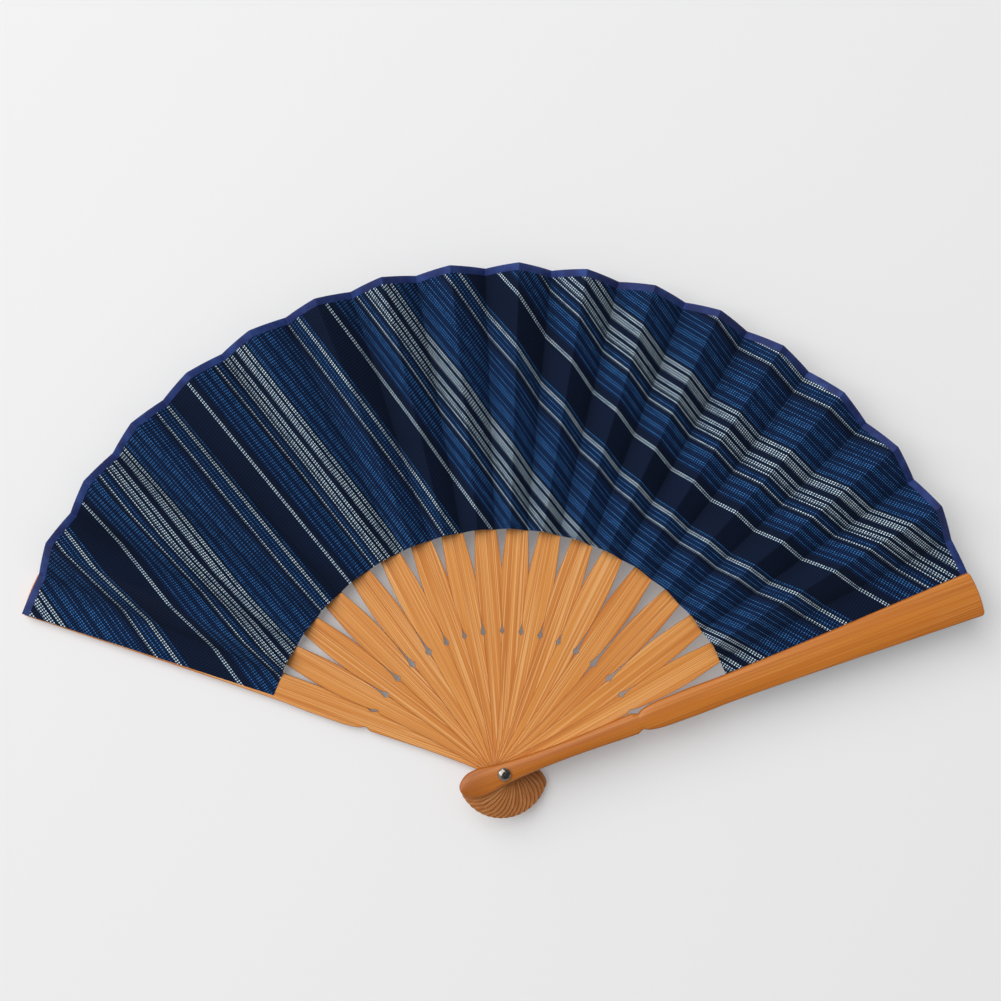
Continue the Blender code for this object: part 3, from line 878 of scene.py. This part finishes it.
def leaf():
    """The whole leaf, from the end panel on the rear guard to the one under the front guard."""
    valleys = [fold_line(*valley(number)) for number in range(ribs + 1)]
    mountains = [mountain(number) for number in range(ribs)]
    rear_azimuth, rear_level = valley(0)
    rear_end = fold_line(rear_azimuth + REAR_END_ANGLE, rear_level)
    last_azimuth, last_level = valley(ribs)
    low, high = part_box("leaf_end_front")
    front_level = (low.z + high.z) / 2
    tilt = math.asin((front_level - last_level) / (MOUNTAIN_REACH * PANEL_ANGLE))
    front_azimuth = last_azimuth - PANEL_ANGLE * math.cos(tilt)
    front_fold = fold_line(front_azimuth, last_level, math.asin(math.sin(PANEL_ANGLE) * math.sin(tilt)))
    front_end = fold_line(front_azimuth - FRONT_END_ANGLE, front_level)
    folds = [rear_end, valleys[0]]
    for number in range(ribs):
        folds += [mountains[number], valleys[number + 1]]
    folds += [front_fold, front_end]
    steps = [REAR_END_ANGLE] + [PANEL_ANGLE] * (2 * ribs + 1) + [FRONT_END_ANGLE]
    turns = FLAT_FIRST_VALLEY + (REAR_END_ANGLE - np.cumsum([0.0] + steps)) * CLOTH_PANEL_ANGLE / PANEL_ANGLE
    peaks = [0.0, 0.0] + [1.0, 0.0] * ribs + [1.0, 0.0]
    flats = list(zip(turns, peaks))
    reaches = [REAR_END_REACH, VALLEY_REACH] + [MOUNTAIN_REACH, VALLEY_REACH] * ribs + [VALLEY_REACH] * 2
    creases = [LEVEL_CREASE]
    creases += [crease(folds[n], folds[n - 1], folds[n + 1]) for n in range(1, len(folds) - 1)]
    creases.append(LEVEL_CREASE)
    names = [("end_rear", "rear", "rear_guard")]
    for number in range(ribs):
        carrier = f"rib_{number:02d}" if number else "rear_guard"
        names.append((f"rising_{number:02d}", f"leaf_rising_{number:02d}", carrier))
        names.append((f"falling_{number + 1:02d}", f"leaf_falling_{number + 1:02d}", f"rib_{number + 1:02d}"))
    names.append((f"rising_{ribs:02d}", f"leaf_rising_{ribs:02d}", f"rib_{ribs:02d}"))
    names.append(("end_front", "front", "front_guard"))
    for n, (name, body, carrier) in enumerate(names):
        panel(name, body, folds[n : n + 2], creases[n : n + 2], flats[n : n + 2], reaches[n : n + 2])


def turned_mesh(name, profile):
    """A round solid from its half outline, which runs from its upper point on the axis round to the lower."""
    turns = np.linspace(0.0, math.tau, ROUND_SIDES, endpoint=False)
    points = [(0.0, 0.0, profile[0][1]), (0.0, 0.0, profile[-1][1])]
    rings = []
    for radius, level in profile[1:-1]:
        rings.append(range(len(points), len(points) + ROUND_SIDES))
        points += [(radius * math.cos(a), radius * math.sin(a), level) for a in turns]
    faces = []
    for n in range(ROUND_SIDES):
        m = (n + 1) % ROUND_SIDES
        faces.append((0, rings[0][n], rings[0][m]))
        faces.append((1, rings[-1][m], rings[-1][n]))
        faces += [(a[n], b[n], b[m], a[m]) for a, b in zip(rings, rings[1:])]
    mesh = solid_mesh(name, np.array(points), faces)
    smooth(mesh)
    return mesh


def dome(radius, flat, height, foot):
    """Points of a domed head, from the edge of its crown down to its rim."""
    turns = np.linspace(ABOVE, 0.0, DOME_STEPS + 1)
    return [(flat + (radius - flat) * math.cos(a), foot + height * math.sin(a)) for a in turns]


def rivet():
    """The pin with its domed head in front, and the cap that closes it behind."""
    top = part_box("rivet_pin")[1].z
    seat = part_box("front_guard")[1].z + SEAT_GAP
    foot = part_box("rivet_pin")[0].z
    head = dome(HEAD_RADIUS, HEAD_CROWN, top - seat - HEAD_RIM, seat + HEAD_RIM)
    pin = [(0.0, top)] + head + [(HEAD_RADIUS, seat + HEAD_RIM / 2), (HEAD_RADIUS - HEAD_RIM / 3, seat)]
    pin += [(PIN_RADIUS, seat), (PIN_RADIUS, foot), (0.0, foot)]
    piece("rivet_head", turned_mesh("rivet_head", pin), "rear", "rivet_pin", "rivet_metal", metal_finish)
    bore = PIN_RADIUS + CAP_CLEARANCE
    bed = foot - CAP_CLEARANCE
    cap = [(0.0, bed), (bore, bed), (bore, REAR_HEAD_HEIGHT), (HEAD_RADIUS - HEAD_RIM / 3, REAR_HEAD_HEIGHT)]
    cap += [(HEAD_RADIUS, REAR_HEAD_HEIGHT - HEAD_RIM / 3), (HEAD_RADIUS, HEAD_RIM)]
    turns = np.linspace(0.0, ABOVE, REAR_DOME_STEPS + 1)[1:]
    rim = HEAD_RADIUS - HEAD_FLAT
    cap += [(HEAD_FLAT + rim * math.cos(a), HEAD_RIM - HEAD_RIM * math.sin(a)) for a in turns]
    cap.append((0.0, 0.0))
    mesh = turned_mesh("rivet_rear_head", cap)
    piece("rivet_rear_head", mesh, "rear", "rivet_cap", "rivet_metal", metal_finish)


def floor():
    """A plain pale floor. Part of its paleness shows to the camera only, which softens the shadows."""
    finish = Finish("floor")
    finish.end(FLOOR_COLOUR, FLOOR_ROUGHNESS)
    glow = finish.feed(finish.add("ShaderNodeEmission"), GLOW_COLOUR)
    seen = finish.times(finish.add("ShaderNodeLightPath").outputs["Is Camera Ray"], FLOOR_GLOW)
    both = finish.feed(finish.add("ShaderNodeMixShader"), seen, finish.shader.outputs[0], glow)
    finish.join(finish.tree.nodes["Material Output"].inputs["Surface"], both)
    mesh = bpy.data.meshes.new("floor")
    corners = [(x * FLOOR_HALF, y * FLOOR_HALF, 0.0) for x, y in ((-1, -1), (1, -1), (1, 1), (-1, 1))]
    mesh.from_pydata(corners, [], [(0, 1, 2, 3)])
    mesh.materials.append(finish.material)
    made = linked("floor", mesh)


def world():
    """Soft even light. Mirrored, it is dark overhead and pale low at the left. The camera sees it pale."""
    made = bpy.data.worlds.new("studio")
    made.use_nodes = True
    bpy.context.scene.world = made
    nodes = Nodes(made.node_tree)
    x, _, z = nodes.parts(nodes.add("ShaderNodeTexCoord").outputs["Generated"])
    height = nodes.maths("MULTIPLY_ADD", x, MIRROR_LEAN, z)
    mirrored = nodes.between(height, *MIRROR_FALL, "LINEAR")
    ray = nodes.add("ShaderNodeLightPath").outputs
    strength = nodes.mix(ray["Is Glossy Ray"], WORLD_STRENGTH, mirrored, "FLOAT")
    seen = nodes.times(ray["Is Camera Ray"], BACKDROP)
    backdrop = nodes.tree.nodes["Background"]
    nodes.feed(backdrop, (1.0, 1.0, 1.0, 1.0), nodes.maths("MAXIMUM", strength, seen))


def lights():
    """One large soft light from the upper left."""
    lamp = bpy.data.lights.new("key", "AREA")
    lamp.energy = KEY_POWER
    lamp.size = KEY_SIZE
    made = linked("key", lamp)
    run = KEY_DISTANCE * math.cos(KEY_HEIGHT)
    rise = KEY_DISTANCE * math.sin(KEY_HEIGHT)
    away = Vector((run * math.cos(KEY_AZIMUTH), run * math.sin(KEY_AZIMUTH), rise))
    made.location = FAN_MIDDLE + away
    made.rotation_euler = away.to_track_quat("Z", "Y").to_euler()


def camera():
    """Almost straight above the fan."""
    lens = bpy.data.cameras.new("camera")
    lens.lens = CAMERA_LENS
    lens.sensor_width = SENSOR_WIDTH
    lens.sensor_fit = "HORIZONTAL"
    lens.clip_start = CLIP_START
    made = linked("camera", lens)
    made.location = CAMERA_PLACE
    made.rotation_euler = CAMERA_TILT
    bpy.context.scene.camera = made


rib_finish = bamboo("rib_bamboo", RIB_TONES, lines=0.65, roughness=0.5, gloss=0.0, handled=0.0)
guard_finish = bamboo("guard_bamboo", GUARD_TONES, lines=0.35, roughness=0.4, gloss=0.06, handled=0.3)
cotton_finish = striped_cotton()
binding_finish = binding_tape()
metal_finish = dark_nickel()

bpy.context.scene.view_settings.view_transform = "Standard"
camera()
world()
lights()
floor()
bamboo_ribs()
bamboo_guards()
leaf()
rivet()
